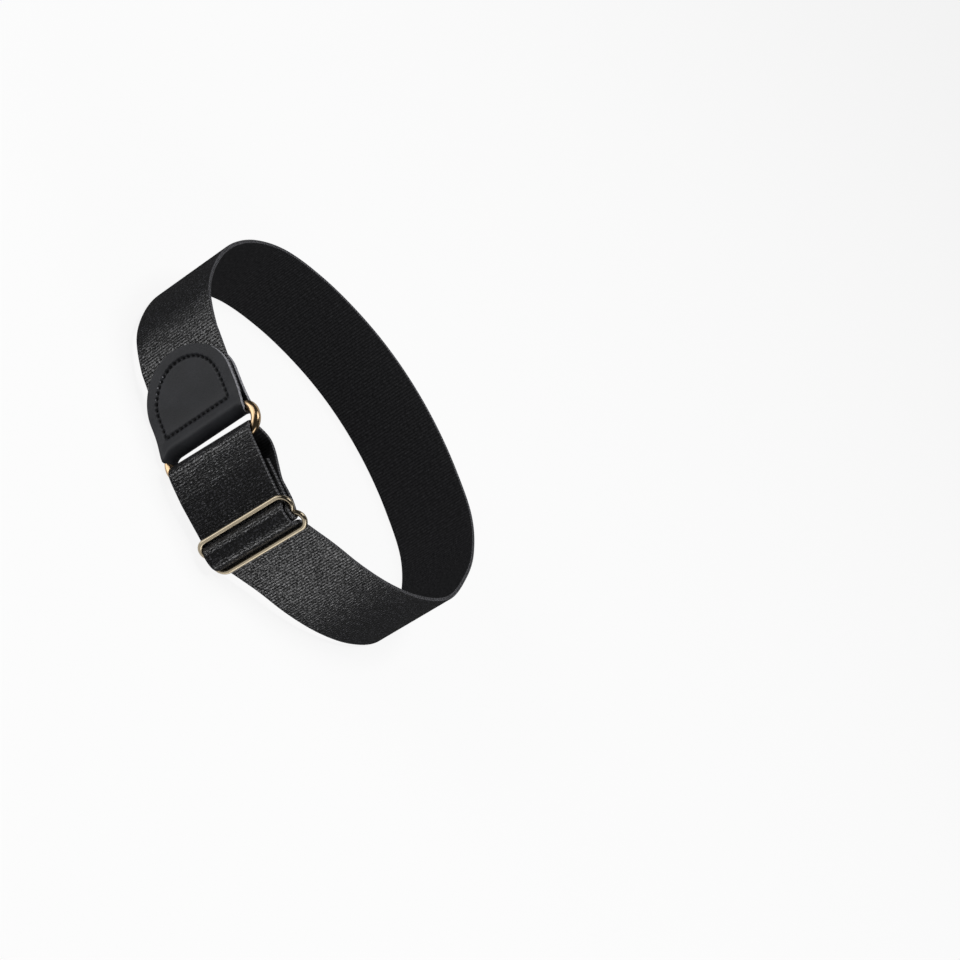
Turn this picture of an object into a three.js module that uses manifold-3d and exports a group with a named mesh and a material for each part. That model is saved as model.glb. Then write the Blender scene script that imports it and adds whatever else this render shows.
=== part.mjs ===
// Shirt sleeve holder: an adjustable elastic band for the upper arm, standing on its lower edge.
// Millimetres, +Z up. The arm goes through along Z, and the tab, the ring and the slider face -Y.
import * as THREE from "three";
import { mergeVertices } from "three/addons/utils/BufferGeometryUtils.js";
import Module from "manifold-3d";

// Elastic strap
const strapWidth = 25;
const strapThickness = 1.1;
const layerGap = 0.2; // air between two layers
const wireGap = 0.3; // air between the strap and the slider's wire
const riseAtFront = 3.5; // the ring and slider reach below the strap, so its front stands this high
const riseFromY = 30; // behind this line the strap's lower edge lies flat on the surface
const riseToY = -50;
const riseCurve = 1.25;

// The loop in plan, from its middle: the middle of the strap, clockwise from the tab to the slider
const loopPlan = [
  { bearing: 210, radius: 49.8 },
  { bearing: 195, radius: 51.2 },
  { bearing: 180, radius: 52.7 },
  { bearing: 165, radius: 54.0 },
  { bearing: 150, radius: 54.4 },
  { bearing: 135, radius: 52.7 },
  { bearing: 120, radius: 51.3 },
  { bearing: 105, radius: 50.7 },
  { bearing: 90, radius: 50.5 },
  { bearing: 75, radius: 50.9 },
  { bearing: 60, radius: 52.1 },
  { bearing: 45, radius: 54.4 },
  { bearing: 30, radius: 54.4 },
  { bearing: 15, radius: 53.2 },
  { bearing: 0, radius: 52.8 },
  { bearing: -15, radius: 50.8 },
  { bearing: -30, radius: 48.9 },
  { bearing: -45, radius: 47.8 },
  { bearing: -60, radius: 48.0 },
];

// Leather tab, folded round the ring's upper bar
const leatherThickness = 1;
const tabWidth = 27;
const tabReach = 22.5; // from the ring's bar to the tip of the rounded end
const tabRound = 14; // the part of the reach that is rounded
const tabLean = -1.1; // the flaps were cut slightly askew, so their tips lie this far to one side
const foldWidth = 23.6; // the tab narrows to fit inside the ring
const foldMiddle = 0.5; // the fold's middle lies this far above the tab's
const foldTaper = 1.3; // the narrowing runs this far before and past the ring's bar
const tabRaise = -0.4; // against the strap's middle, and so for the ring and the slider
const tabHeading = 156; // degrees, from the ring's bar to the rounded end
const foldGap = 0.25; // round the ring's bar
const stitchRow = 3.1; // from the ring's bar to the row that closes the fold

// Oval ring
const ringWire = 2.4;
const ringLength = 30.7;
const ringBarSpacing = 7.4;
const ringCorner = 2.9; // radius of the middle of the wire
const ringRaise = 0.35;
const ringUpperBar = { x: -13.4, y: -41.3 };
const ringHeading = -27.5; // degrees, from the upper bar to the lower bar

// Slider
const sliderWire = 1.35;
const sliderLength = 29;
const sliderRaise = 0;
const sliderBarSpacing = 4.8;
const sliderCorner = 2.2; // radius of the middle of the wire
const sliderNotch = 0.95; // how far the wire dips to meet the middle bar
const notchRadius = 0.75;
const sliderMiddleBar = { x: 14.6, y: -49.6 };
const sliderHeading = 21; // degrees, from the upper bar to the lower bar

// The strap's bend between slider and ring, its loose turn round the ring's lower bar, the hump
// over the slider and the back layer's dip towards the slider
const frontLayerBend = { x: 0.3, y: -41.1, radius: 8 };
const ringTurns = [
  { x: -6.5, y: -44.5, radius: 3.1 },
  { x: -3.9, y: -43.75, radius: 4.2 },
];
const humpShoulders = [
  { x: 16, y: -50.4, radius: 1.6 },
  { x: 13.4, y: -51.6, radius: 1.6 },
];
const backLayerBend = { x: 7.5, y: -43.2, radius: 2.5 };
const backLayerRest = { x: 11.9, y: -46.5 };
const tailEnd = { x: 0.3, y: -45.9 };

// The loop is deeper in front, so the middle of the footprint lies this far in front of the loop's
const footprintShift = 1.3;

const radians = THREE.MathUtils.degToRad;
const riseAt = (y) => {
  const share = Math.max(0, riseFromY - y) / (riseFromY - riseToY);
  return riseAtFront * share ** riseCurve;
};
const along = (from, heading, distance) => ({
  x: from.x + distance * Math.cos(radians(heading)),
  y: from.y + distance * Math.sin(radians(heading)),
});

// A belt runs round circles { x, y, radius, turn } and through plain points { x, y }, and is straight
// between two circles. turn is 1 for anticlockwise and -1 for clockwise.
function beltPoints(circles, closed, arcStep = 30, straightStep = 6) {
  const side = (circle) => (circle.turn ?? 1) * (circle.radius ?? 0);
  const count = circles.length;
  const headings = [];
  for (let i = 0; i < (closed ? count : count - 1); i++) {
    const from = circles[i];
    const to = circles[(i + 1) % count];
    const distance = Math.hypot(to.x - from.x, to.y - from.y);
    const direct = Math.atan2(to.y - from.y, to.x - from.x);
    headings.push(direct - Math.asin((side(to) - side(from)) / distance));
  }
  const touch = (circle, heading) =>
    new THREE.Vector2(
      circle.x + side(circle) * Math.sin(heading),
      circle.y - side(circle) * Math.cos(heading),
    );
  const points = [];
  circles.forEach((circle, i) => {
    const into = headings[i - 1] ?? (closed ? headings[count - 1] : headings[0]);
    const out = headings[i] ?? into;
    if (!circle.radius) {
      points.push(new THREE.Vector2(circle.x, circle.y));
    } else {
      const fullTurn = 2 * Math.PI;
      const turned = (((circle.turn * (out - into)) % fullTurn) + fullTurn) % fullTurn;
      const steps = Math.max(1, Math.round(turned / radians(arcStep)));
      for (let k = 0; k <= steps; k++) {
        points.push(touch(circle, into + (circle.turn * turned * k) / steps));
      }
    }
    const next = circles[i + 1] ?? (closed ? circles[0] : null);
    if (circle.radius && next?.radius) {
      const start = touch(circle, out);
      const end = touch(next, out);
      const pieces = Math.floor(start.distanceTo(end) / straightStep);
      for (let k = 1; k < pieces; k++) {
        points.push(start.clone().lerp(end, k / pieces));
      }
    }
  });
  return points;
}

// The outline of a ribbon of the given thickness that follows the points, in plan
function ribbonShape(points, thickness, samplesPerPoint = 3) {
  const path = new THREE.CatmullRomCurve3(
    points.map((p) => new THREE.Vector3(p.x, p.y, 0)),
  );
  const samples = (points.length - 1) * samplesPerPoint;
  const left = [];
  const right = [];
  for (let i = 0; i <= samples; i++) {
    const at = path.getPoint(i / samples);
    const heading = path.getTangent(i / samples);
    const across = new THREE.Vector2(-heading.y, heading.x).multiplyScalar(thickness / 2);
    left.push(new THREE.Vector2(at.x + across.x, at.y + across.y));
    right.unshift(new THREE.Vector2(at.x - across.x, at.y - across.y));
  }
  return new THREE.Shape([...left, ...right]);
}

const extrude = (shape, depth) =>
  new THREE.ExtrudeGeometry(shape, { depth, bevelEnabled: false, curveSegments: 24 });

// A closed wire that follows a flat outline of points
function wireLoop(points, wire, steps, sides) {
  const path = new THREE.CatmullRomCurve3(
    points.map((p) => new THREE.Vector3(p.x, p.y, 0)),
    true,
  );
  return new THREE.TubeGeometry(path, steps, wire / 2, sides, true);
}

const wasm = await Module();
wasm.setup();

function toSolid(geometry) {
  const bare = geometry.clone().deleteAttribute("normal").deleteAttribute("uv");
  const merged = mergeVertices(bare, 1e-4);
  return new wasm.Manifold(
    new wasm.Mesh({
      numProp: 3,
      vertProperties: merged.attributes.position.array,
      triVerts: new Uint32Array(merged.index.array),
    }),
  );
}

function toGeometry(solid) {
  const { vertProperties, triVerts } = solid.getMesh();
  const geometry = new THREE.BufferGeometry();
  geometry.setAttribute("position", new THREE.BufferAttribute(vertProperties, 3));
  geometry.setIndex(new THREE.BufferAttribute(triVerts, 1));
  geometry.computeVertexNormals();
  return geometry;
}

// The strap from the tab round the loop, through the slider, round the ring and back to its tail
function strapCircles() {
  const overWire = (layers) =>
    sliderWire / 2 + wireGap + (layers - 1) * layerGap + (layers - 0.5) * strapThickness;
  const upperBar = along(sliderMiddleBar, sliderHeading, -sliderBarSpacing);
  const lowerBar = along(sliderMiddleBar, sliderHeading, sliderBarSpacing);
  const insideTab = [stitchRow + 0.4, tabReach / 2, tabReach - 1.5, tabReach + 0.5].map((distance) =>
    along(ringUpperBar, tabHeading, distance),
  );
  const loop = loopPlan.map(({ bearing, radius }) => along({ x: 0, y: 0 }, bearing, radius));
  return [
    ...insideTab,
    ...loop,
    { ...lowerBar, radius: overWire(1), turn: 1 },
    { ...humpShoulders[0], turn: -1 },
    { ...humpShoulders[1], turn: -1 },
    { ...upperBar, radius: overWire(1), turn: 1 },
    { ...frontLayerBend, turn: -1 },
    { ...ringTurns[0], turn: -1 },
    { ...ringTurns[1], turn: -1 },
    { ...backLayerBend, turn: 1 },
    backLayerRest,
    { ...sliderMiddleBar, radius: overWire(1), turn: -1 },
    { ...upperBar, radius: overWire(2), turn: 1 },
    tailEnd,
  ];
}

function elasticBand() {
  const geometry = extrude(ribbonShape(beltPoints(strapCircles(), false), strapThickness), strapWidth);
  const position = geometry.getAttribute("position");
  for (let i = 0; i < position.count; i++) {
    position.setZ(i, position.getZ(i) + riseAt(position.getY(i)));
  }
  return geometry;
}

// The tab in its own frame: x from the ring's bar towards the rounded end, y across, z along the bar
function leatherTab() {
  const flapOffset = strapThickness / 2 + layerGap + leatherThickness / 2;
  const foldRadius = ringWire / 2 + foldGap + leatherThickness / 2;
  const fold = [
    { x: tabReach + 1, y: flapOffset },
    { x: tabReach / 2, y: flapOffset },
    { x: stitchRow + 1, y: flapOffset },
    { x: 0, y: 0, radius: foldRadius, turn: 1 },
    { x: stitchRow + 1, y: -flapOffset },
    { x: tabReach / 2, y: -flapOffset },
    { x: tabReach + 1, y: -flapOffset },
  ];
  const folded = extrude(ribbonShape(beltPoints(fold, false), leatherThickness), tabWidth);
  folded.translate(0, 0, -tabWidth / 2);

  const foldLow = foldMiddle - foldWidth / 2;
  const foldHigh = foldMiddle + foldWidth / 2;
  const outline = new THREE.Shape();
  outline.moveTo(-foldRadius - leatherThickness, foldLow);
  outline.lineTo(-foldTaper, foldLow);
  outline.lineTo(foldTaper, -tabWidth / 2);
  outline.lineTo(tabReach - tabRound, -tabWidth / 2);
  outline.absellipse(tabReach - tabRound, 0, tabRound, tabWidth / 2, -Math.PI / 2, Math.PI / 2);
  outline.lineTo(foldTaper, tabWidth / 2);
  outline.lineTo(-foldTaper, foldHigh);
  outline.lineTo(-foldRadius - leatherThickness, foldHigh);
  const cutter = extrude(outline, tabWidth);
  cutter.translate(0, 0, -tabWidth / 2);
  cutter.rotateX(Math.PI / 2);
  const tab = toGeometry(toSolid(folded).intersect(toSolid(cutter)));
  const position = tab.getAttribute("position");
  for (let i = 0; i < position.count; i++) {
    const share = Math.max(0, position.getX(i)) / tabReach;
    position.setZ(i, position.getZ(i) + tabLean * share);
  }
  return tab;
}

// The ring in its own frame: x from the upper bar to the lower bar, z along the bars
function ovalRing() {
  const straight = (ringLength - ringWire) / 2 - ringCorner;
  const corner = (x, y) => ({ x, y, radius: ringCorner, turn: 1 });
  const outline = beltPoints(
    [
      corner(ringBarSpacing - ringCorner, -straight),
      corner(ringBarSpacing - ringCorner, straight),
      corner(ringCorner, straight),
      corner(ringCorner, -straight),
    ],
    true,
    22.5,
  );
  return wireLoop(outline, ringWire, 64, 12).rotateX(Math.PI / 2);
}

// The slider in its own frame: x from the upper bar to the lower bar, z along the bars
function sliderBuckle() {
  const end = (sliderLength - sliderWire) / 2;
  const cornerX = sliderBarSpacing - sliderCorner;
  const cornerY = end - sliderCorner;
  const notchY = end - sliderNotch + notchRadius;
  const corner = (x, y) => ({ x, y, radius: sliderCorner, turn: 1 });
  const notch = (y) => ({ x: 0, y, radius: notchRadius, turn: -1 });
  const outline = beltPoints(
    [
      corner(cornerX, -cornerY),
      corner(cornerX, cornerY),
      notch(notchY),
      corner(-cornerX, cornerY),
      corner(-cornerX, -cornerY),
      notch(-notchY),
    ],
    true,
    22.5,
  );
  const frame = wireLoop(outline, sliderWire, 112, 8);
  const middleBar = new THREE.CylinderGeometry(
    sliderWire / 2,
    sliderWire / 2,
    2 * (end - sliderNotch),
    8,
  );
  return toGeometry(toSolid(frame).add(toSolid(middleBar))).rotateX(Math.PI / 2);
}

const elastic = { color: "#1b1b1d", roughness: 0.6, metalness: 0 };
const leather = { color: "#222327", roughness: 0.5, metalness: 0 };
const brass = { color: "#b08d4f", roughness: 0.25, metalness: 1 };
const paleGold = { color: "#d3c6a0", roughness: 0.25, metalness: 1 };

function piece(name, geometry, look) {
  const mesh = new THREE.Mesh(geometry, new THREE.MeshStandardMaterial(look));
  mesh.name = name;
  return mesh;
}

// Stands a piece that is modelled round a bar upright at that bar
function stand(mesh, bar, heading, raise = 0) {
  mesh.position.set(bar.x, bar.y, strapWidth / 2 + riseAt(bar.y) + raise);
  mesh.rotation.z = radians(heading);
  return mesh;
}

const group = new THREE.Group();
group.add(piece("elastic_band", elasticBand(), elastic));
const tab = piece("leather_tab", leatherTab(), leather);
const ring = piece("oval_ring", ovalRing(), brass);
const slider = piece("slider_buckle", sliderBuckle(), paleGold);
group.add(stand(tab, ringUpperBar, tabHeading, tabRaise));
group.add(stand(ring, ringUpperBar, ringHeading, ringRaise));
group.add(stand(slider, sliderMiddleBar, sliderHeading, sliderRaise));
group.position.y = footprintShift;

export default group;
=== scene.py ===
import math

import bpy
from mathutils import Matrix, Quaternion, Vector


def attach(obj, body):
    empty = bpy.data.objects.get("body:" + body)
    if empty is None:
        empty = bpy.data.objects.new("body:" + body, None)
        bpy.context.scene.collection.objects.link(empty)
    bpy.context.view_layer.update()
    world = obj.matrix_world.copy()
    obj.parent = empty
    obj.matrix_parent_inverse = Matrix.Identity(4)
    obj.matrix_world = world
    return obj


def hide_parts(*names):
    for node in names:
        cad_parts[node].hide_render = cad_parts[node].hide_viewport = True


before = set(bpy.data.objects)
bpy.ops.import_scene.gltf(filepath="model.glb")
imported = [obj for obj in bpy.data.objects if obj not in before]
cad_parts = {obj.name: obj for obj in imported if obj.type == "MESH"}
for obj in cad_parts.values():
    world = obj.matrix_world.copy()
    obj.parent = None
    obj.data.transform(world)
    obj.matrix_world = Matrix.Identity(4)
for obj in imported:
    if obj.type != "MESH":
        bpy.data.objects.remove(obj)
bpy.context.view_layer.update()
print("packed frame loaded:", ", ".join(sorted(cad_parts)))

# An elastic armband that holds up a shirt sleeve, standing on its lower edge. All of it is modelled
# in millimetres, and settle() brings a finished piece to metres.
metresPerMillimetre = 0.001
footprintShift = 1.3  # the loop's own middle lies this far behind the middle of the footprint


# Small helpers
def deselectAll():
    if bpy.context.object and bpy.context.object.mode != "OBJECT":
        bpy.ops.object.mode_set(mode="OBJECT")
    bpy.ops.object.select_all(action="DESELECT")


def makeActive(piece):
    deselectAll()
    piece.select_set(True)
    bpy.context.view_layer.objects.active = piece


def named(name):
    # The primitive that was just added gets its name here
    piece = bpy.context.object
    piece.name = name
    piece.data.name = name
    makeActive(piece)
    return piece


def selectEdges(piece, test):
    # Leaves the piece in edit mode with the edges selected that pass the test
    bpy.ops.object.mode_set(mode="EDIT")
    bpy.ops.mesh.select_mode(type="EDGE")
    bpy.ops.mesh.select_all(action="DESELECT")
    bpy.ops.object.mode_set(mode="OBJECT")
    for edge in piece.data.edges:
        start, end = (piece.data.vertices[index].co for index in edge.vertices)
        edge.select = test(start, end)
    bpy.ops.object.mode_set(mode="EDIT")


def selectFaces(piece, test):
    # Leaves the piece in edit mode with the faces selected that pass the test
    bpy.ops.object.mode_set(mode="EDIT")
    bpy.ops.mesh.select_mode(type="FACE")
    bpy.ops.mesh.select_all(action="DESELECT")
    bpy.ops.object.mode_set(mode="OBJECT")
    for face in piece.data.polygons:
        face.select = test(face)
    bpy.ops.object.mode_set(mode="EDIT")


def modify(piece, kind, **settings):
    makeActive(piece)
    modifier = piece.modifiers.new(kind.title(), kind)
    for name, value in settings.items():
        setattr(modifier, name, value)
    bpy.ops.object.modifier_apply(modifier=modifier.name)


def joinPieces(pieces, name):
    deselectAll()
    for piece in pieces:
        piece.select_set(True)
    bpy.context.view_layer.objects.active = pieces[0]
    bpy.ops.object.join()
    return named(name)


def smooth(piece, degrees):
    makeActive(piece)
    bpy.ops.object.shade_smooth_by_angle(angle=math.radians(degrees))


def settle(piece, node):
    # Brings a piece to its place on the part, in metres, and hides the packed part that it stands
    # for
    toPlace = Matrix.Translation((0, footprintShift * metresPerMillimetre, 0))
    piece.data.transform(toPlace @ Matrix.Scale(metresPerMillimetre, 4))
    piece.data.update()
    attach(piece, "root")
    if node:
        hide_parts(node)


def addNode(material, kind, settings=None, links=None):
    # A key that is an input's name or number sets that input, and any other sets a property
    node = material.node_tree.nodes.new(kind)
    for name, value in (settings or {}).items():
        if isinstance(name, int) or name in node.inputs:
            node.inputs[name].default_value = value
        else:
            setattr(node, name, value)
    for name, socket in (links or {}).items():
        material.node_tree.links.new(socket, node.inputs[name])
    return node


def colour(hexCode):
    # sRGB hex to the linear colour that the shader works in
    channels = [int(hexCode[start : start + 2], 16) / 255 for start in (1, 3, 5)]
    linear = [c / 12.92 if c <= 0.04045 else ((c + 0.055) / 1.055) ** 2.4 for c in channels]
    return (*linear, 1.0)


def newMaterial(name, settings):
    material = bpy.data.materials.new(name)
    material.use_nodes = True
    shader = material.node_tree.nodes["Principled BSDF"]
    for socket, value in settings.items():
        shader.inputs[socket].default_value = value
    return material, shader


def patternScale(millimetres):
    # Scale of a pattern on Object coordinates, from the real size of one of its grains
    return 1 / (millimetres * metresPerMillimetre)


def shadeRamp(material, factor, stops):
    # A colour ramp from (position, hex colour) pairs
    ramp = addNode(material, "ShaderNodeValToRGB", links={"Fac": factor})
    elements = ramp.color_ramp.elements
    while len(elements) < len(stops):
        elements.new(0.5)
    for element, (position, hexCode) in zip(elements, stops):
        element.position = position
        element.color = colour(hexCode)
    return ramp.outputs["Color"]


# Camera: it looks along +Y and a little down at the band, and is rolled, because the band leans to
# one side in the photo
view = {
    "place": (31.41, -507.46, 289.11),
    "downTilt": 25.09,
    "roll": 58.49,
    "lens": 84.0,
    "sensor": 36.0,
}

deselectAll()
bpy.ops.object.camera_add(location=[value * metresPerMillimetre for value in view["place"]])
camera = bpy.context.object
camera.rotation_mode = "QUATERNION"
levelTurn = Quaternion((1, 0, 0), math.radians(90 - view["downTilt"]))
camera.rotation_quaternion = levelTurn @ Quaternion((0, 0, 1), math.radians(view["roll"]))
camera.data.lens = view["lens"]
camera.data.sensor_width = view["sensor"]
camera.data.clip_start = 0.01
bpy.context.scene.camera = camera
print("camera placed")


# Shared route geometry. A station is (x, y) for a plain point, or (x, y, radius, turn) for a round
# one that the route goes round: turn is 1 for anticlockwise and -1 for clockwise.
def along(start, heading, distance):
    angle = math.radians(heading)
    return (start[0] + distance * math.cos(angle), start[1] + distance * math.sin(angle))


def beltPoints(stations, arcStep=30, straightStep=6):
    stations = [(*station, 0, 1)[:4] if len(station) == 2 else station for station in stations]
    headings = []
    for (x1, y1, r1, turn1), (x2, y2, r2, turn2) in zip(stations, stations[1:]):
        direct = math.atan2(y2 - y1, x2 - x1)
        lean = math.asin((turn2 * r2 - turn1 * r1) / math.hypot(x2 - x1, y2 - y1))
        headings.append(direct - lean)

    def touch(station, heading):
        x, y, radius, turn = station
        return (x + turn * radius * math.sin(heading), y - turn * radius * math.cos(heading))

    points = []
    for index, station in enumerate(stations):
        radius, turn = station[2:]
        into = headings[max(index - 1, 0)]
        out = headings[min(index, len(headings) - 1)]
        if not radius:
            points.append(station[:2])
            continue
        turned = (turn * (out - into)) % (2 * math.pi)
        steps = max(1, round(turned / math.radians(arcStep)))
        points += [touch(station, into + turn * turned * k / steps) for k in range(steps + 1)]
        if index + 1 < len(stations) and stations[index + 1][2]:
            start = Vector(touch(station, out))
            end = Vector(touch(stations[index + 1], out))
            pieces = int((end - start).length / straightStep)
            points += [tuple(start.lerp(end, k / pieces)) for k in range(1, pieces)]
    # Where two round stations meet without a straight between them, the shared point stays once
    return [points[0]] + [b for a, b in zip(points, points[1:]) if math.dist(a, b) > 0.01]


def smoothRoute(points, samplesPerPoint):
    # A centripetal spline through the points
    points = [Vector(point) for point in points]
    ends = [2 * points[0] - points[1], 2 * points[-1] - points[-2]]
    padded = [ends[0], *points, ends[1]]
    route = []
    for p0, p1, p2, p3 in zip(padded, padded[1:], padded[2:], padded[3:]):
        d0, d1, d2 = ((b - a).length ** 0.5 for a, b in ((p0, p1), (p1, p2), (p2, p3)))
        leave = ((p1 - p0) / d0 - (p2 - p0) / (d0 + d1) + (p2 - p1) / d1) * d1
        arrive = ((p2 - p1) / d1 - (p3 - p1) / (d1 + d2) + (p3 - p2) / d2) * d1
        for k in range(samplesPerPoint):
            t = k / samplesPerPoint
            route.append(
                p1 + leave * t
                + (3 * (p2 - p1) - 2 * leave - arrive) * t * t
                + (2 * (p1 - p2) + leave + arrive) * t * t * t
            )
    return [*route, points[-1]]


def routeLength(route):
    return sum((b - a).length for a, b in zip(route, route[1:]))


def ease(start, end, value):
    # A soft step from 0 at the start to 1 at the end
    share = min(max((value - start) / (end - start), 0), 1)
    return share * share * (3 - 2 * share)


def drawCurve(name, route, wire=0):
    # A curve in plan for a flat piece to follow, or a round wire where wire is its thickness
    data = bpy.data.curves.new(name, "CURVE")
    data.dimensions = "3D"
    data.twist_mode = "MINIMUM" if wire else "Z_UP"
    data.bevel_depth = wire / 2
    data.bevel_resolution = 8
    data.use_fill_caps = True
    spline = data.splines.new("POLY")
    spline.points.add(len(route) - 1)
    for point, place in zip(spline.points, route):
        point.co = (*place, 1) if len(place) == 3 else (*place, 0, 1)
    curve = bpy.data.objects.new(name, data)
    bpy.context.scene.collection.objects.link(curve)
    return curve


def bendAlong(piece, route):
    # Bends a flat piece that lies along +X so that it follows the route
    curve = drawCurve(piece.name + "Route", route)
    modify(piece, "CURVE", object=curve, deform_axis="POS_X")
    bpy.data.objects.remove(curve)


# The loop in plan, from its middle: bearing and radius of the middle of the strap, clockwise from
# the tab to the slider
loopPlan = [
    (210, 49.8),
    (195, 51.2),
    (180, 52.7),
    (165, 54.0),
    (150, 54.4),
    (135, 52.7),
    (120, 51.3),
    (105, 50.7),
    (90, 50.5),
    (75, 50.9),
    (60, 52.1),
    (45, 54.4),
    (30, 54.4),
    (15, 53.2),
    (0, 52.8),
    (-15, 50.8),
    (-30, 48.9),
    (-45, 47.8),
    (-60, 48.0),
]

strap = {
    "width": 25.0,
    "thickness": 1.1,
    "layerGap": 0.2,
    "wireGap": 0.3,
    "riseAtFront": 3.5,  # the hardware reaches below the strap, so its front stands this high
    "riseFrom": 30.0,
    "riseTo": -50.0,
    "riseCurve": 1.25,
    "ribPitch": 0.85,  # crosswise ribs of the elastic weave
    "ribCrown": 0.055,
    "edgeRound": 0.24,
    "edgeCord": 0.12,  # each edge has a cord on both sides of a groove
    "edgeGroove": 0.14,
    "grooveWall": 0.09,
    "cutsAlong": 3,  # of each rib
    "cutsAcross": 5,
    "humpRadius": 2.0,
    "tailEnd": (0.3, -45.9),
}

tab = {
    "thickness": 0.9,
    "width": 27.0,
    "reach": 22.5,
    "roundLow": 14.0,  # the cut is rounder on its lower side than on its upper side
    "roundHigh": 12.0,
    "edgeRound": 0.14,
    "foldWidth": 25.0,  # the leather is notched at the fold, where the ring's wire leaves it
    "foldMiddle": 0.4,
    "notchFrom": 1.0,
    "notchTo": 2.4,
    "ringPush": 1.3,  # the most that the ring's corners push the ends of the fold out
    "pushReach": 5.0,
    "cornerShare": 0.9,  # of the ring's corner that the fold follows
    "skew": -0.052,  # the flaps lean towards the lower rim by this much for each mm from the fold
    "raise": -0.4,
    "heading": 156.0,
    "foldGap": 0.25,
    "stitchRow": 3.1,
    "cell": 0.3,
}

ring = {
    "wire": 2.4,
    "length": 30.7,
    "barSpacing": 7.4,
    "corner": 3.6,
    "segments": 64,
    "raise": 0.35,
    "upperBar": (-13.4, -41.3),
    "heading": -27.5,
}

slider = {
    "wire": 1.35,
    "length": 29.2,
    "raise": -0.35,
    "barSpacing": 4.8,
    "corner": 2.4,
    "innerCorner": 2.25,  # of the ends that curl in to meet the middle bar
    "middleBar": (14.6, -49.6),
    "heading": 21.0,
}

front = {
    "heading": -13.6,  # from the ring's lower bar to the slider
    "start": (-6.5, -44.5),
    "turn": 1.2,  # the slider hangs askew by this angle, and the strap there with it
    "pivotHeight": 30.0,
    "ringShift": 0.8,  # of the strap's upper rim at the ring
    "dropAtRing": 0.35,  # how far the front layer's lower rim lies below that of the back layer
    "dropAtSlider": 0.65,
    "spreadAtRing": 0.8,  # the elastic is this much wider where it is pulled round the ring
    "turnsBefore": -15.0,  # what lies further back than this y isn't turned
    "shiftBase": 3.0,
    "turnStarts": (-6.0, -3.5),  # these three are distances from the start
    "turnGrows": (1.0, 15.0),
    "turnEnds": (46.0, 26.0),
    "dropFrom": 22.0,  # the drop grows from this far before the slider,
    "dropTo": 6.0,  # and is full from this far before it to this far past it
    "spreadFrom": 8.0,  # the spread grows from this far past the slider
    "ringReach": 3.0,  # both reach what they are at the ring this far before it,
    "dropFades": (1.0, 9.0),  # and fade away between these distances past it
}


def turnFront(piece):
    # Only the front of the band turns, from the ring on, and most of all at the slider
    ahead = Vector(along((0, 0), front["heading"], 1))
    slope = math.tan(math.radians(front["turn"]))
    for vertex in piece.data.vertices:
        x, y, z = vertex.co
        if y > front["turnsBefore"]:
            continue
        distance = (Vector((x, y)) - Vector(front["start"])).dot(ahead)
        atRing = front["ringShift"] * (z - front["shiftBase"]) / strap["width"]
        atSlider = -slope * (front["pivotHeight"] - z)
        shift = atRing + (atSlider - atRing) * ease(*front["turnGrows"], distance)
        shift *= ease(*front["turnStarts"], distance) * ease(*front["turnEnds"], distance)
        vertex.co.x += ahead.x * shift
        vertex.co.y += ahead.y * shift


def dropFront(piece):
    # The front layer lies a little below the back one. The piece still lies flat along +X here.
    def arcAt(place):
        nearest = min(range(len(strapRoute)), key=lambda k: (strapRoute[k] - place).length)
        return routeLength(strapRoute[: nearest + 1])

    # The strap's middle passes about 3 mm outside these two bars
    overSlider = Vector(along(slider["middleBar"], slider["heading"] - 90, 3))
    roundRing = Vector(along(front["start"], 250, 3))
    sliderArc = arcAt(overSlider)
    ringArc = arcAt(roundRing)
    nearRing = ringArc - front["ringReach"]
    fadeStart, fadeEnd = front["dropFades"]
    for vertex in piece.data.vertices:
        arc = vertex.co.x
        grown = ease(sliderArc - front["dropFrom"], sliderArc - front["dropTo"], arc)
        changed = ease(sliderArc + front["dropTo"], nearRing, arc)
        drop = front["dropAtSlider"] * grown
        drop += (front["dropAtRing"] - front["dropAtSlider"]) * changed
        spread = front["spreadAtRing"] * ease(sliderArc + front["spreadFrom"], nearRing, arc)
        lift = spread * vertex.co.z / strap["width"] - drop
        vertex.co.z += lift * ease(ringArc + fadeEnd, ringArc + fadeStart, arc)


def riseAt(y):
    share = max(0, strap["riseFrom"] - y) / (strap["riseFrom"] - strap["riseTo"])
    return strap["riseAtFront"] * share ** strap["riseCurve"]


def strapStations():
    def overWire(layers):
        air = strap["wireGap"] + (layers - 1) * strap["layerGap"]
        return slider["wire"] / 2 + air + (layers - 0.5) * strap["thickness"]

    middleBar = slider["middleBar"]
    upperBar = along(middleBar, slider["heading"], -slider["barSpacing"])
    lowerBar = along(middleBar, slider["heading"], slider["barSpacing"])
    # The elastic lies straight between the flaps, and leaves them at their tips
    reaches = [tab["stitchRow"] + 0.4, tab["reach"] / 2, tab["reach"] - 1.5, tab["reach"] + 0.5]
    insideTab = [along(ring["upperBar"], tab["heading"], reach) for reach in reaches]
    loop = [along((0, 0), bearing, radius) for bearing, radius in loopPlan]
    return [
        *insideTab,
        *loop,
        (*lowerBar, overWire(1), 1),
        (15.27, -50.52, strap["humpRadius"], -1),  # the hump's two shoulders over the middle bar
        (13.93, -50.66, strap["humpRadius"], -1),
        (*upperBar, overWire(1), 1),
        (0.3, -41.1, 8.0, -1),  # the front layer bends on its way to the ring
        (-6.5, -44.5, 3.1, -1),  # the loose turn round the ring's lower bar
        (-3.9, -43.75, 4.2, -1),
        (7.5, -43.2, 2.5, 1),  # the back layer dips towards the slider
        (11.9, -46.5),
        (*middleBar, overWire(1), -1),
        (*upperBar, overWire(2), 1),
        strap["tailEnd"],  # between the two layers
    ]


strapRoute = smoothRoute(beltPoints(strapStations()), 8)


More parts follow.
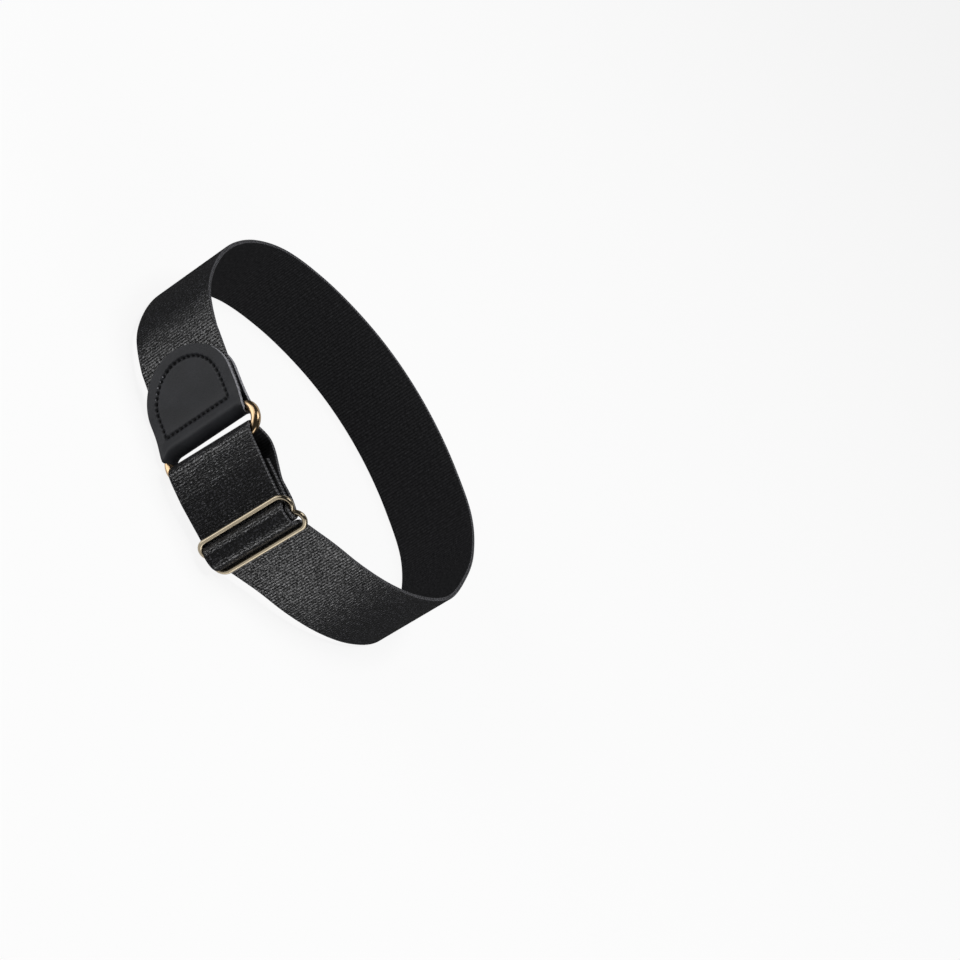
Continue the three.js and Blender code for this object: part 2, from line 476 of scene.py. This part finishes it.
# Woven elastic: bright polyester filament over rubber cores. The outer face is satin: on every rib
# the yarn lies in short rounded floats, which glint one by one. The face against the arm is matt.
# The weave's map counts ribs along the strap and millimetres across it, and the noise sizes here
# are in the same units. The yarn's own grain is finer, and is drawn this coarse so that it shows.
weave = {
    "floatLength": 0.95,  # one yarn float along a rib
    "wander": 1.111,
    "grain": 0.4762,
    "grainAlongRib": 0.635,
    "fuzz": 0.9091,  # of the matt face
    "edgeLoop": 0.5,
    "satinBump": 0.00015,  # bumps are in metres
    "mattBump": 0.0001,
}


def mathNode(material, operation, *values):
    settings = {"operation": operation}
    links = {}
    for index, value in enumerate(values):
        (settings if isinstance(value, (int, float)) else links)[index] = value
    return addNode(material, "ShaderNodeMath", settings, links).outputs["Value"]


def weavePlace(material):
    # Rib number along the strap and millimetres across it, with how high the rib's crown is
    place = addNode(material, "ShaderNodeUVMap", {"uv_map": "strapPlace"}).outputs["UV"]
    parts = addNode(material, "ShaderNodeSeparateXYZ", links={"Vector": place}).outputs
    ribTurn = mathNode(material, "MULTIPLY", parts["X"], math.pi)
    crown = mathNode(material, "ABSOLUTE", mathNode(material, "SINE", ribTurn))
    return place, parts["X"], parts["Y"], crown


def satinElastic():
    material, shader = newMaterial(
        "wovenElasticSatinFace",
        {"Specular IOR Level": 0.5},
    )
    place, ribCount, across, crown = weavePlace(material)
    rib = mathNode(material, "FLOOR", ribCount)
    ribStart = addNode(
        material, "ShaderNodeTexWhiteNoise", {"noise_dimensions": "1D"}, {"W": rib}
    ).outputs["Value"]
    # The floats wander a little from their rows
    wander = addNode(
        material,
        "ShaderNodeTexNoise",
        {"Scale": 1 / weave["wander"], "Detail": 2.0},
        {"Vector": place},
    ).outputs["Fac"]
    inFloats = mathNode(material, "DIVIDE", across, weave["floatLength"])
    shifted = mathNode(material, "ADD", inFloats, ribStart)
    count = mathNode(material, "ADD", shifted, wander)
    pillow = mathNode(
        material,
        "ABSOLUTE",
        mathNode(material, "SINE", mathNode(material, "MULTIPLY", count, math.pi)),
    )
    cell = addNode(
        material,
        "ShaderNodeCombineXYZ",
        links={"X": rib, "Y": mathNode(material, "FLOOR", count)},
    )
    chance = addNode(
        material,
        "ShaderNodeTexWhiteNoise",
        {"noise_dimensions": "2D"},
        {"Vector": cell.outputs["Vector"]},
    ).outputs["Value"]
    # The grain of the yarn is longer along the ribs than across them
    squeeze = (1.0, weave["grain"] / weave["grainAlongRib"], 1.0)
    grainPlace = addNode(
        material, "ShaderNodeVectorMath", {"operation": "MULTIPLY", 1: squeeze}, {0: place}
    ).outputs["Vector"]
    grain = addNode(
        material,
        "ShaderNodeTexNoise",
        {"Scale": 1 / weave["grain"], "Detail": 1.0},
        {"Vector": grainPlace},
    ).outputs["Fac"]
    # Dull between the ribs, and uneven yarn that catches more light on some floats than on others.
    # The same values set the colour: darker between the ribs as painted shade, and lighter on the
    # crowns of the floats and on some floats as painted glints, over the yarn's own uneven tone
    ribTop = mathNode(material, "POWER", crown, 0.8)
    rounded = mathNode(material, "MULTIPLY", pillow, 0.1)
    ribbed = mathNode(material, "MULTIPLY_ADD", ribTop, 0.4, rounded)
    mixed = mathNode(material, "MULTIPLY", chance, 0.16)
    uneven = mathNode(material, "MULTIPLY_ADD", grain, 1.2, mixed)
    lively = mathNode(material, "ADD", ribbed, uneven)
    gloss = addNode(
        material,
        "ShaderNodeMapRange",
        {"From Min": 0.72, "From Max": 1.22, "To Min": 0.8, "To Max": 0.18},
        {"Value": lively},
    )
    material.node_tree.links.new(gloss.outputs["Result"], shader.inputs["Roughness"])
    # The yarn's colour, with painted shade between the ribs and painted glints on the floats
    yarnColourAndPaintedLight = shadeRamp(
        material,
        mathNode(material, "MULTIPLY", lively, 0.6),
        [(0.4, "#030304"), (0.56, "#0b0b0c"), (0.68, "#1b1b1d"), (0.83, "#3e3e42")],
    )
    material.node_tree.links.new(yarnColourAndPaintedLight, shader.inputs["Base Color"])
    bump = addNode(
        material,
        "ShaderNodeBump",
        {"Strength": 1.0, "Distance": weave["satinBump"]},
        {"Height": lively},
    )
    material.node_tree.links.new(bump.outputs["Normal"], shader.inputs["Normal"])
    return material


def mattElastic():
    material, shader = newMaterial(
        "wovenElasticMattFace",
        {"Roughness": 0.8, "Specular IOR Level": 0.15},
    )
    place, _, _, crown = weavePlace(material)
    yarns = addNode(
        material,
        "ShaderNodeTexNoise",
        {"Scale": 1 / weave["fuzz"], "Detail": 3.0},
        {"Vector": place},
    ).outputs["Fac"]
    # Fuzz of the yarn, with the colour darker between the ribs as painted shade
    fuzzWithRibShade = mathNode(material, "MULTIPLY", mathNode(material, "POWER", crown, 0.45), yarns)
    tone = shadeRamp(
        material, fuzzWithRibShade, [(0.05, "#0c0c0d"), (0.35, "#1b1b1d"), (0.6, "#28282a"), (0.8, "#38383b")]
    )
    material.node_tree.links.new(tone, shader.inputs["Base Color"])
    bump = addNode(
        material,
        "ShaderNodeBump",
        {"Strength": 0.5, "Distance": weave["mattBump"]},
        {"Height": yarns},
    )
    material.node_tree.links.new(bump.outputs["Normal"], shader.inputs["Normal"])
    return material


# The selvedge is a tight edge of the same yarn, with a lighter cord on each side of a dark groove
def selvedge():
    material, shader = newMaterial("wovenElasticSelvedge", {"Roughness": 0.6})
    place, _, _, crown = weavePlace(material)
    loops = addNode(
        material,
        "ShaderNodeTexNoise",
        {"Scale": 1 / weave["edgeLoop"], "Detail": 2.0},
        {"Vector": place},
    ).outputs["Fac"]
    # Knotted loops of yarn, with the colour darker between the ribs as painted shade
    knotsWithRibShade = mathNode(material, "MULTIPLY", loops, mathNode(material, "ADD", crown, 0.6))
    tone = shadeRamp(material, knotsWithRibShade, [(0.3, "#151517"), (0.6, "#3c3c3f"), (0.9, "#6c6c70")])
    material.node_tree.links.new(tone, shader.inputs["Base Color"])
    return material


def buildStrap():
    length = routeLength(strapRoute)
    ribs = round(length / strap["ribPitch"])
    pitch = length / ribs
    halfThick = strap["thickness"] / 2
    halfWide = strap["width"] / 2
    deselectAll()
    bpy.ops.mesh.primitive_cube_add(
        size=1,
        location=(pitch / 2, 0, halfWide),
        scale=(pitch, strap["thickness"], strap["width"]),
    )
    piece = named("elastic_strap")
    bpy.ops.object.transform_apply(location=True, rotation=True, scale=True)
    # One rib of the strap, open at both ends
    selectFaces(piece, lambda face: abs(face.normal.x) > 0.9)
    bpy.ops.mesh.delete(type="ONLY_FACE")
    selectEdges(piece, lambda start, end: abs(end.x - start.x) > 0.5 * pitch)
    bpy.ops.mesh.bevel(offset=strap["edgeRound"], segments=3)
    # The groove down the middle of each edge
    selectFaces(piece, lambda face: abs(face.normal.z) > 0.99)
    bpy.ops.mesh.inset(thickness=strap["edgeCord"], use_boundary=False)
    for side in (-1, 1):
        selectFaces(
            piece, lambda face: face.normal.z * side > 0.99 and abs(face.center.y) < 0.1
        )
        bpy.ops.mesh.inset(thickness=strap["grooveWall"], use_boundary=False)
        bpy.ops.transform.translate(value=(0, 0, -side * strap["edgeGroove"]))
    # Cuts across the faces, and along the rib so that it can be crowned
    selectEdges(piece, lambda start, end: abs(end.z - start.z) > 0.5 * strap["width"])
    bpy.ops.mesh.subdivide(number_cuts=strap["cutsAcross"])
    selectEdges(piece, lambda start, end: abs(end.x - start.x) > 0.5 * pitch)
    bpy.ops.mesh.subdivide(number_cuts=strap["cutsAlong"])
    bpy.ops.object.mode_set(mode="OBJECT")
    for vertex in piece.data.vertices:
        crown = strap["ribCrown"] * math.sin(math.pi * vertex.co.x / pitch)
        if abs(vertex.co.y) > 0.9 * halfThick:
            vertex.co.y += math.copysign(crown - strap["ribCrown"], vertex.co.y)
    modify(
        piece,
        "ARRAY",
        count=ribs,
        use_relative_offset=False,
        use_constant_offset=True,
        constant_offset_displace=(pitch, 0, 0),
        use_merge_vertices=True,
        merge_threshold=0.01,
    )
    # The cut ends are closed
    for cut in (0, length):
        selectEdges(
            piece, lambda start, end: max(abs(start.x - cut), abs(end.x - cut)) < 1e-3
        )
        bpy.ops.mesh.edge_face_add()
    bpy.ops.object.mode_set(mode="OBJECT")
    # Place on the strap for the weave: ribs along it, and millimetres across it
    layer = piece.data.uv_layers.new(name="strapPlace")
    for loop in piece.data.loops:
        spot = piece.data.vertices[loop.vertex_index].co
        layer.data[loop.index].uv = (spot.x / pitch, spot.z)
    for material in (satinElastic(), mattElastic(), selvedge()):
        piece.data.materials.append(material)
    faceStart = 0.93 * (halfThick - strap["ribCrown"])  # nearer to the middle lie the edges
    for face in piece.data.polygons:
        onEdge = abs(face.center.y) < faceStart
        face.material_index = 2 if onEdge else (0 if face.center.y > 0 else 1)
    dropFront(piece)
    bendAlong(piece, strapRoute)
    for vertex in piece.data.vertices:
        vertex.co.z += riseAt(vertex.co.y)
    turnFront(piece)
    smooth(piece, 50)
    settle(piece, "elastic_band")
    print("elastic strap: length", round(length), "mm,", ribs, "ribs")


# Vegetable-tanned leather, dyed black and lightly glazed, so that it has an even, soft sheen
def glazedLeather():
    material, shader = newMaterial(
        "glazedBlackLeather", {"Roughness": 0.5, "Specular IOR Level": 0.3}
    )
    place = addNode(material, "ShaderNodeTexCoord").outputs["Object"]
    pores = addNode(
        material,
        "ShaderNodeTexVoronoi",
        {"Scale": patternScale(0.3846), "Randomness": 1.0},
        {"Vector": place},
    )
    clouds = addNode(
        material,
        "ShaderNodeTexNoise",
        {"Scale": patternScale(6.25), "Detail": 4.0},
        {"Vector": place},
    )
    tone = shadeRamp(
        material, clouds.outputs["Fac"], [(0.3, "#1c1d20"), (0.55, "#232428"), (0.8, "#2c2d31")]
    )
    # The needle's slots are painted almost black as painted shade in the holes, and are dull
    slot = addNode(material, "ShaderNodeAttribute", {"attribute_name": "seamHole"}).outputs["Fac"]
    paintedSlotShade = addNode(
        material,
        "ShaderNodeMix",
        {"data_type": "RGBA", 7: colour("#020203")},
        {0: mathNode(material, "MULTIPLY", slot, 1.3), 6: tone},
    )
    material.node_tree.links.new(paintedSlotShade.outputs[2], shader.inputs["Base Color"])
    dulled = addNode(
        material, "ShaderNodeMapRange", {"To Min": 0.5, "To Max": 0.95}, {"Value": slot}
    )
    material.node_tree.links.new(dulled.outputs["Result"], shader.inputs["Roughness"])
    bump = addNode(
        material,
        "ShaderNodeBump",
        {"Strength": 0.12, "Distance": 0.0001},
        {"Height": pores.outputs["Distance"]},
    )
    material.node_tree.links.new(bump.outputs["Normal"], shader.inputs["Normal"])
    return material


# The cut edge isn't glazed: its fibres are matt and paler than the face
def rawLeatherEdge():
    material, shader = newMaterial(
        "rawCutLeatherEdge", {"Roughness": 0.8, "Specular IOR Level": 0.3}
    )
    place = addNode(material, "ShaderNodeTexCoord").outputs["Object"]
    fibres = addNode(
        material,
        "ShaderNodeTexNoise",
        {"Scale": patternScale(0.4545), "Detail": 3.0},
        {"Vector": place},
    )
    tone = shadeRamp(
        material, fibres.outputs["Fac"], [(0.3, "#5e5e63"), (0.6, "#98989d"), (0.8, "#c4c4c8")]
    )
    material.node_tree.links.new(tone, shader.inputs["Base Color"])
    return material


# Thick waxed thread, twisted from three plies: nearly black, with a weak glint here and there
def waxedThread():
    material, shader = newMaterial(
        "waxedBlackThread", {"Roughness": 0.7, "Specular IOR Level": 0.2}
    )
    place = addNode(material, "ShaderNodeTexCoord").outputs["Object"]
    plies = addNode(
        material,
        "ShaderNodeTexNoise",
        {"Scale": patternScale(0.2857), "Detail": 1.0},
        {"Vector": place},
    )
    tone = shadeRamp(material, plies.outputs["Fac"], [(0.3, "#040405"), (0.8, "#151517")])
    material.node_tree.links.new(tone, shader.inputs["Base Color"])
    return material


def foldRadius():
    return ring["wire"] / 2 + tab["foldGap"] + tab["thickness"] / 2


def tabRoute():
    flapOffset = strap["thickness"] / 2 + strap["layerGap"] + tab["thickness"] / 2
    local = beltPoints(
        [
            (tab["reach"], flapOffset),
            (tab["reach"] / 2, flapOffset),
            (tab["stitchRow"] + 1, flapOffset),
            (0, 0, foldRadius(), 1),
            (tab["stitchRow"] + 1, -flapOffset),
            (tab["reach"] / 2, -flapOffset),
            (tab["reach"], -flapOffset),
        ],
        arcStep=15,
    )
    turn = Matrix.Rotation(math.radians(tab["heading"]), 2)
    base = Vector(ring["upperBar"])
    return smoothRoute([turn @ Vector(point) + base for point in local], 6)


def tabPlace(x, z, halfLength):
    # Where a spot of the leather lies once it is cut: rounded at both ends, narrow at the fold
    halfWide = tab["width"] / 2
    side = math.copysign(1, x)
    fromFold = abs(x)
    roundPart = tab["roundLow"] if z < 0 else tab["roundHigh"]
    endStart = halfLength - roundPart
    if fromFold > endStart:
        # A square grid is drawn in to a half ellipse
        outward = (fromFold - endStart) / roundPart
        sideward = z / halfWide
        fromFold = endStart + roundPart * outward * math.sqrt(1 - sideward**2 / 2)
        z = halfWide * sideward * math.sqrt(1 - outward**2 / 2)
    narrow = tab["foldWidth"] / tab["width"]
    atFold = tab["foldMiddle"] + z * narrow
    wide = ease(tab["notchFrom"], tab["notchTo"], abs(x))
    return side * fromFold, atFold + (z - atFold) * wide


def leanFlaps(piece):
    # The flaps were cut slightly askew, so they lean to one side from the fold on
    foldArc = math.pi * foldRadius() / 2
    for vertex in piece.data.vertices:
        vertex.co.z += tab["skew"] * max(0, abs(vertex.co.x) - foldArc)


def followRing(piece):
    # The ends of the fold are pushed out where the ring bends away inside them
    middle = strap["width"] / 2 + riseAt(ring["upperBar"][1]) + ring["raise"]
    straight = (ring["length"] - ring["wire"]) / 2 - ring["corner"]
    push = Vector(along((0, 0), ring["heading"], 1))
    inward = Vector(along((0, 0), tab["heading"], 1))
    bar = Vector(ring["upperBar"])
    for vertex in piece.data.vertices:
        pastBend = max(0, abs(vertex.co.z - middle) - straight)
        pastBend = min(pastBend, tab["cornerShare"] * ring["corner"])
        upright = math.sqrt(ring["corner"] ** 2 - pastBend**2)
        bend = (ring["corner"] - upright) * ring["corner"] / upright
        fromBar = (Vector(vertex.co.xy) - bar).dot(inward)
        shift = push * min(bend, tab["ringPush"]) * ease(tab["pushReach"], 0, fromBar)
        vertex.co.x += shift.x
        vertex.co.y += shift.y


stitch = {
    "pitch": 1.5,
    "length": 0.9,
    "thread": 0.3,
    "halfWidth": 10.35,
    "middle": -0.3,  # the seam runs slightly nearer to the lower side of the flap
    "roundFrom": 9.0,  # where the sides of the seam turn into its round end
    "inset": 3.1,  # of the round end from the tip of the leather
    "endLow": 1.12,  # the round end is more pointed on its lower side, above 1,
    "endHigh": 0.88,  # and squarer on its upper side, below 1
    "grooveWidth": 0.32,
    "grooveDepth": 0.14,
    "holeLength": 1.0,  # each stitch pulls a slanted slot into the leather
    "holeWidth": 0.55,
    "holeDepth": 0.42,
    "slant": 14,
    "sunk": 0.22,  # the thread's middle lies this far below the floor of the groove
    "nearSeam": 1.0,  # beyond these distances a seam or a slot leaves no mark
    "nearSlot": 1.2,
}


def stitchLine(halfLength):
    # The seam on the front flap, as (x, z, angle): a row by the fold, two sides and the round end
    foldArc = math.pi * foldRadius() / 2
    rowX = foldArc + tab["stitchRow"]
    low = stitch["middle"] - stitch["halfWidth"]
    high = stitch["middle"] + stitch["halfWidth"]
    endStart = foldArc + stitch["roundFrom"]
    endX = halfLength - stitch["inset"] - endStart
    path = [Vector((rowX, low))]
    steps = 24
    for k in range(steps + 1):
        angle = math.pi * (k / steps - 0.5)
        power = stitch["endLow"] if angle < 0 else stitch["endHigh"]
        reach = max(0, math.cos(angle)) ** power
        side = math.copysign(abs(math.sin(angle)) ** power, angle)
        z = stitch["middle"] + stitch["halfWidth"] * side
        path.append(Vector((endStart + endX * reach, z)))
    path.append(Vector((rowX, high)))
    spots = []
    for run in (path, [path[-1], path[0]]):
        total = routeLength(run)
        count = round(total / stitch["pitch"])
        step = total / count
        reach = step / 2
        walked = 0
        for start, end in zip(run, run[1:]):
            span = (end - start).length
            while reach <= walked + span:
                spot = start.lerp(end, (reach - walked) / span)
                heading = end - start
                spots.append((spot.x, spot.y, math.atan2(heading.y, heading.x)))
                reach += step
            walked += span
    return path, spots


def slotDepth(spot, spots):
    # How deep a spot lies in the nearest stitch's slot, from 0 to 1
    deepest = 0
    for x, z, angle in spots:
        away = spot - Vector((x, z))
        if away.length > stitch["nearSlot"]:
            continue
        turned = Matrix.Rotation(-angle - math.radians(stitch["slant"]), 2) @ away
        lengthwise = 2 * turned.x / stitch["holeLength"]
        crosswise = 2 * turned.y / stitch["holeWidth"]
        deepest = max(deepest, math.exp(-(lengthwise**4) - crosswise**2))
    return deepest


def distanceTo(spot, path):
    best = 1e9
    for start, end in zip(path, path[1:]):
        span = end - start
        share = min(max((spot - start).dot(span) / span.length_squared, 0), 1)
        best = min(best, (spot - start - span * share).length)
    return best


def buildTab():
    route = tabRoute()
    length = routeLength(route)
    halfLength = length / 2
    deselectAll()
    bpy.ops.mesh.primitive_grid_add(
        x_subdivisions=round(length / tab["cell"]),
        y_subdivisions=round(tab["width"] / tab["cell"]),
        size=1,
        rotation=(math.radians(90), 0, 0),
    )
    piece = named("folded_leather_tab")
    piece.scale = (length, tab["width"], 1)
    bpy.ops.object.transform_apply(location=True, rotation=True, scale=True)
    path, spots = stitchLine(halfLength)
    seam = [*path, path[0]]
    groove = piece.data.attributes.new("seamGroove", "FLOAT", "POINT")
    hole = piece.data.attributes.new("seamHole", "FLOAT", "POINT")
    for vertex in piece.data.vertices:
        x, z = tabPlace(vertex.co.x, vertex.co.z, halfLength)
        vertex.co.x, vertex.co.z = x, z
        spot = Vector((abs(x), z))
        away = distanceTo(spot, seam)
        groove.data[vertex.index].value = math.exp(-((away / stitch["grooveWidth"]) ** 2))
        if away < stitch["nearSeam"]:
            hole.data[vertex.index].value = slotDepth(spot, spots)
    modify(piece, "SOLIDIFY", thickness=tab["thickness"], offset=0, use_even_offset=True)
    marks = piece.data.attributes
    for vertex in piece.data.vertices:
        if vertex.co.y < 0:
            vertex.co.y += stitch["grooveDepth"] * marks["seamGroove"].data[vertex.index].value
            vertex.co.y += stitch["holeDepth"] * marks["seamHole"].data[vertex.index].value
    modify(
        piece,
        "BEVEL",
        width=tab["edgeRound"],
        segments=2,
        limit_method="ANGLE",
        angle_limit=1.0,
    )
    for material in (glazedLeather(), rawLeatherEdge()):
        piece.data.materials.append(material)
    # The cut edges are raw, but the steep sides of the seam's slots aren't
    for face in piece.data.polygons:
        inSeam = marks["seamGroove"].data[face.vertices[0]].value > 0.05
        face.material_index = 0 if abs(face.normal.y) > 0.8 or inSeam else 1
    stitches = buildStitches(spots)
    for part in (piece, stitches):
        leanFlaps(part)
        part.data.transform(Matrix.Translation((halfLength, 0, 0)))
        bendAlong(part, route)
        middle = strap["width"] / 2 + riseAt(ring["upperBar"][1]) + tab["raise"]
        part.data.transform(Matrix.Translation((0, 0, middle)))
        followRing(part)
    smooth(piece, 60)
    smooth(stitches, 60)
    settle(piece, "leather_tab")
    settle(stitches, None)
    print("leather tab:", len(spots) * 2, "stitches, flat length", round(length, 1), "mm")


def buildStitches(spots):
    copies = []
    for side in (-1, 1):
        for x, z, angle in spots:
            deselectAll()
            bpy.ops.mesh.primitive_uv_sphere_add(segments=8, ring_count=6, radius=0.5)
            one = named("stitch")
            slant = math.radians(stitch["slant"])
            size = Matrix.Diagonal((stitch["length"], stitch["thread"], stitch["thread"], 1))
            heading = angle + slant if side > 0 else math.pi - angle - slant
            turn = Matrix.Rotation(-heading, 4, "Y")
            sunk = -tab["thickness"] / 2 + stitch["grooveDepth"] + stitch["sunk"]
            one.data.transform(Matrix.Translation((side * x, sunk, z)) @ turn @ size)
            copies.append(one)
    piece = joinPieces(copies, "tab_stitches")
    piece.data.materials.append(waxedThread())
    return piece


# Bright plated wire, polished and then dulled a little by handling, so that it mirrors in broad
# bands: the ring is a warm brass, and the slider a paler gold
def platedWire(name, tint, roughness):
    material, shader = newMaterial(
        name, {"Base Color": colour(tint), "Metallic": 1.0, "Roughness": roughness}
    )
    place = addNode(material, "ShaderNodeTexCoord").outputs["Object"]
    handling = addNode(
        material,
        "ShaderNodeTexNoise",
        {"Scale": patternScale(1.4286), "Detail": 3.0},
        {"Vector": place},
    )
    worn = addNode(
        material,
        "ShaderNodeMapRange",
        {"To Min": roughness * 0.85, "To Max": roughness * 1.25},
        {"Value": handling.outputs["Fac"]},
    )
    material.node_tree.links.new(worn.outputs["Result"], shader.inputs["Roughness"])
    bump = addNode(
        material,
        "ShaderNodeBump",
        {"Strength": 0.05, "Distance": 0.0001},
        {"Height": handling.outputs["Fac"]},
    )
    material.node_tree.links.new(bump.outputs["Normal"], shader.inputs["Normal"])
    return material


def stand(piece, bar, heading, lift):
    # Stands a piece that is modelled round a bar at the origin upright at that bar
    middle = strap["width"] / 2 + riseAt(bar[1]) + lift
    turn = Matrix.Rotation(math.radians(heading), 4, "Z")
    piece.data.transform(Matrix.Translation((*bar, middle)) @ turn)


def buildRing():
    # A torus whose quarters are moved apart, so that its bars run straight between the bends
    halfStep = math.pi / ring["segments"]
    deselectAll()
    bpy.ops.mesh.primitive_torus_add(
        major_radius=ring["corner"],
        minor_radius=ring["wire"] / 2,
        major_segments=ring["segments"],
        minor_segments=ring["segments"] // 2,
        rotation=(math.radians(90), halfStep, 0),
    )
    piece = named("wire_ring")
    bpy.ops.object.transform_apply(location=True, rotation=True, scale=True)
    across = ring["barSpacing"] / 2 - ring["corner"]
    tall = (ring["length"] - ring["wire"]) / 2 - ring["corner"]
    for vertex in piece.data.vertices:
        vertex.co.x += math.copysign(across, vertex.co.x) + ring["barSpacing"] / 2
        vertex.co.z += math.copysign(tall, vertex.co.z)
    stand(piece, ring["upperBar"], ring["heading"], ring["raise"])
    piece.data.materials.append(platedWire("platedBrassWire", "#ad9373", 0.2))
    smooth(piece, 80)
    settle(piece, "oval_ring")
    print("oval ring done")
    return piece


def buildSlider():
    # Two loops of wire that share a middle bar, soldered where they meet it
    halfLength = (slider["length"] - slider["wire"]) / 2
    inner = slider["innerCorner"]
    outer = slider["corner"]
    meet = slider["barSpacing"] - outer - inner
    bar = [(0, 0, inner - halfLength), (0, 0, halfLength - inner)]
    # The bar is a hair thicker than the loops, so that no two faces coincide where they meet
    parts = [drawCurve("sliderBar", bar, slider["wire"] * 1.02)]
    for side in (-1, 1):
        stations = [
            (side * meet, halfLength - inner - 1),
            (side * (meet + inner), halfLength - inner, inner, -side),
            (side * (slider["barSpacing"] - outer), halfLength - outer, outer, -side),
            (side * (slider["barSpacing"] - outer), outer - halfLength, outer, -side),
            (side * (meet + inner), inner - halfLength, inner, -side),
            (side * meet, inner + 1 - halfLength),
        ]
        flat = beltPoints(stations, arcStep=9, straightStep=30)
        route = [(x, 0, z) for x, z in flat]
        parts.append(drawCurve("sliderLoop", route, slider["wire"]))
    for part in parts:
        makeActive(part)
        bpy.ops.object.convert(target="MESH")
        modify(part, "WELD", merge_threshold=0.001)
    piece, *loops = parts
    for loop in loops:
        modify(piece, "BOOLEAN", object=loop, operation="UNION", solver="EXACT")
        bpy.data.objects.remove(loop)
    makeActive(piece)
    piece = named("wire_slider")
    stand(piece, slider["middleBar"], slider["heading"], slider["raise"])
    turnFront(piece)
    piece.data.materials.append(platedWire("platedPaleGoldWire", "#988d79", 0.2))
    smooth(piece, 60)
    settle(piece, "slider_buckle")
    print("slider done")
    return piece


wires = [buildRing(), buildSlider()]
buildStrap()
buildTab()

# Studio, in metres: a white floor that glows a little, so that it stays even, a low soft box on
# each side and a weak light above. In front it is dark, and so the elastic stays black where it
# faces the camera. The satin needs stronger soft boxes than the bright wires do, and the floor hides
# from glossy rays, because the satin would lose its blacks. So the wires have weaker boxes of their
# own, and two lights that stand for the reflections of the white table and of the pale wall behind.
studio = {
    "floorSize": 6.0,
    "floorColour": "#646464",
    "floorGlow": 0.87,
    "world": "#ffffff",
    "worldStrength": 0.05,
    "boxHeight": -0.2,
    "leftBearing": 211.0,
    "leftDistance": 0.75,
    "leftSize": (0.34, 1.2),
    "leftPower": 5.8,
    "rightBearing": -22.0,
    "rightDistance": 0.75,
    "rightSize": (0.32, 1.2),
    "rightPower": 6.2,
    "topHeight": 1.2,
    "topSize": (0.6, 0.6),
    "topPower": 9.0,
    "wireShare": 0.5,  # of the power of these three, for the wires
    "tablePlace": (0, -0.56, 0.0005),
    "tableAim": (0, -0.56, 1),
    "tableSize": (1.2, 1.2),
    "tablePower": 4.4,
    "wallPlace": (0, 0.8, 0.45),
    "wallAim": (0, 0, 0.1),
    "wallSize": (1.6, 0.8),
    "wallPower": 3.2,
}


def lightGroup(name, state):
    # The wires, for the lights that reach only them and for those that reach all but them
    group = bpy.data.collections.new(name)
    for piece in wires:
        group.objects.link(piece)
    for member in group.collection_objects:
        member.light_linking.link_state = state
    return group


def softLight(name, place, aim, size, power, group):
    deselectAll()
    bpy.ops.object.light_add(type="AREA", location=place)
    light = bpy.context.object
    light.name = name
    light.data.shape = "RECTANGLE"
    light.data.size, light.data.size_y = size
    light.data.energy = power
    light.visible_camera = False
    light.light_linking.receiver_collection = group
    toAim = Vector(aim) - Vector(place)
    light.rotation_euler = toAim.to_track_quat("-Z", "Y").to_euler()


deselectAll()
bpy.ops.mesh.primitive_plane_add(size=studio["floorSize"])
floor = named("studioFloor")
floorPaint, _ = newMaterial(
    "whiteStudioPaint",
    {
        "Base Color": colour(studio["floorColour"]),
        "Roughness": 0.9,
        "Specular IOR Level": 0.1,
        "Emission Color": colour("#ffffff"),
        "Emission Strength": studio["floorGlow"],
    },
)
floor.data.materials.append(floorPaint)
floor.visible_glossy = False

world = bpy.data.worlds.new("softStudio")
bpy.context.scene.world = world
world.use_nodes = True
background = world.node_tree.nodes["Background"]
background.inputs["Color"].default_value = colour(studio["world"])
background.inputs["Strength"].default_value = studio["worldStrength"]

onlyWires = lightGroup("onlyWires", "INCLUDE")
allButWires = lightGroup("allButWires", "EXCLUDE")
for group, share in ((allButWires, 1), (onlyWires, studio["wireShare"])):
    for side in ("left", "right"):
        spot = along((0, 0), studio[side + "Bearing"], studio[side + "Distance"])
        softLight(
            side + "SoftBox",
            (*spot, studio["boxHeight"]),
            (0, 0, studio["boxHeight"]),
            studio[side + "Size"],
            studio[side + "Power"] * share,
            group,
        )
    top = (0, 0, studio["topHeight"])
    softLight("topLight", top, (0, 0, 0), studio["topSize"], studio["topPower"] * share, group)
for name in ("table", "wall"):
    softLight(
        name + "Glint",
        studio[name + "Place"],
        studio[name + "Aim"],
        studio[name + "Size"],
        studio[name + "Power"],
        onlyWires,
    )

bpy.context.scene.view_settings.view_transform = "Standard"
print("studio lit")
